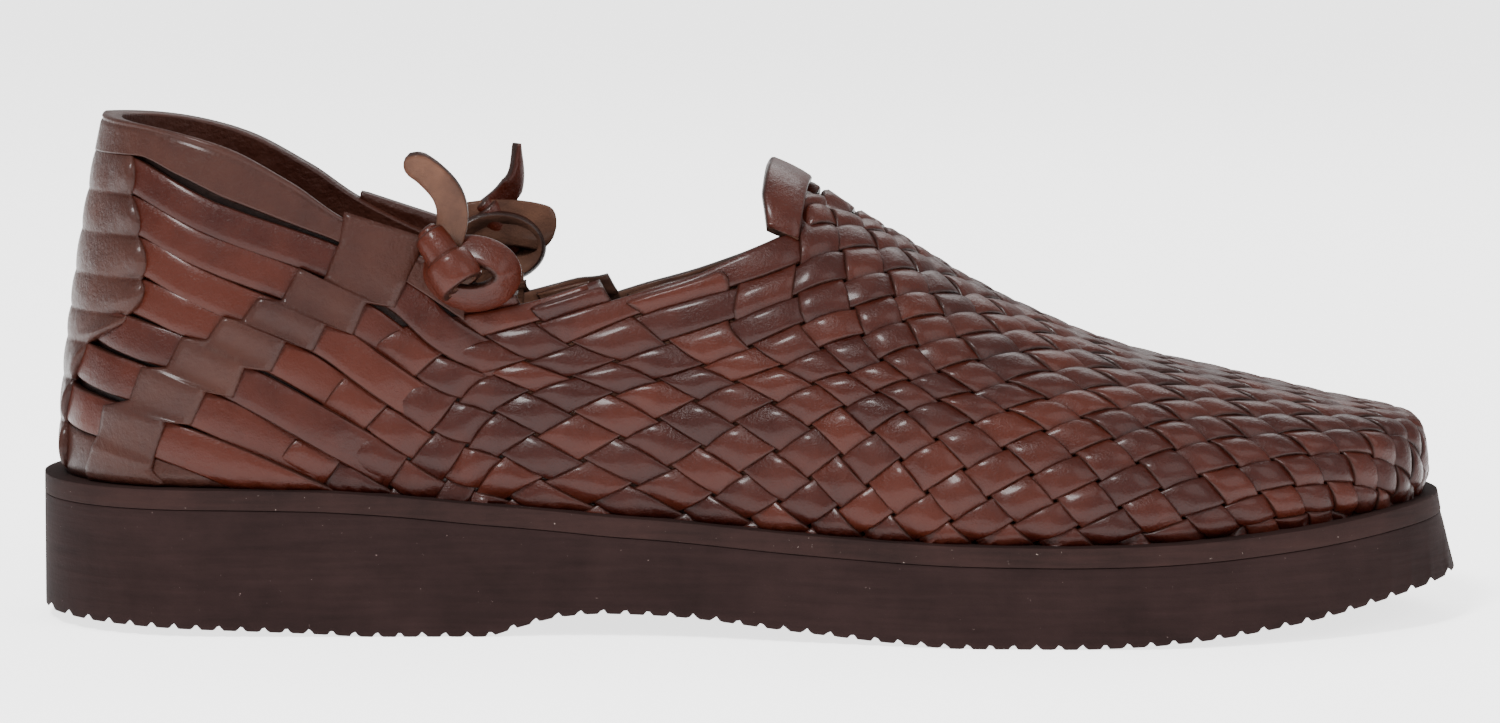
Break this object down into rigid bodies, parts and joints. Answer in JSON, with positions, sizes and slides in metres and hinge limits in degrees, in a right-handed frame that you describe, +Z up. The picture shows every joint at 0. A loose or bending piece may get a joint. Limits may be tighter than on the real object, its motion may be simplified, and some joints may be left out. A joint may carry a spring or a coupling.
{
  "type": "huarache sandal",
  "caption": "Slip-on huarache sandal for a right foot: upper woven from leather straps, raised heel counter, tied collar, on a rubber wedge sole.",
  "frame": {"origin": "on the floor, at the middle of the bounding box of the whole shoe", "axes": "+X towards the toe, +Y towards the inner (medial) side of the foot, +Z up"},
  "size_m": [0.2942, 0.106, 0.1049],
  "materials": {
    "sole_rubber": "matt, ground",
    "midsole_rubber": "matt, ground",
    "insole_leather": "natural, dull",
    "upper_leather": "waxed, half gloss",
    "tie_leather": "waxed, with a fuzzy flesh side"
  },
  "bodies": {
    "root": {"outsole": "sole_rubber", "midsole": "midsole_rubber", "insole": "insole_leather", "upper": "upper_leather", "tie_outer": "tie_leather", "tie_inner": "tie_leather"}
  },
  "joints": []
}
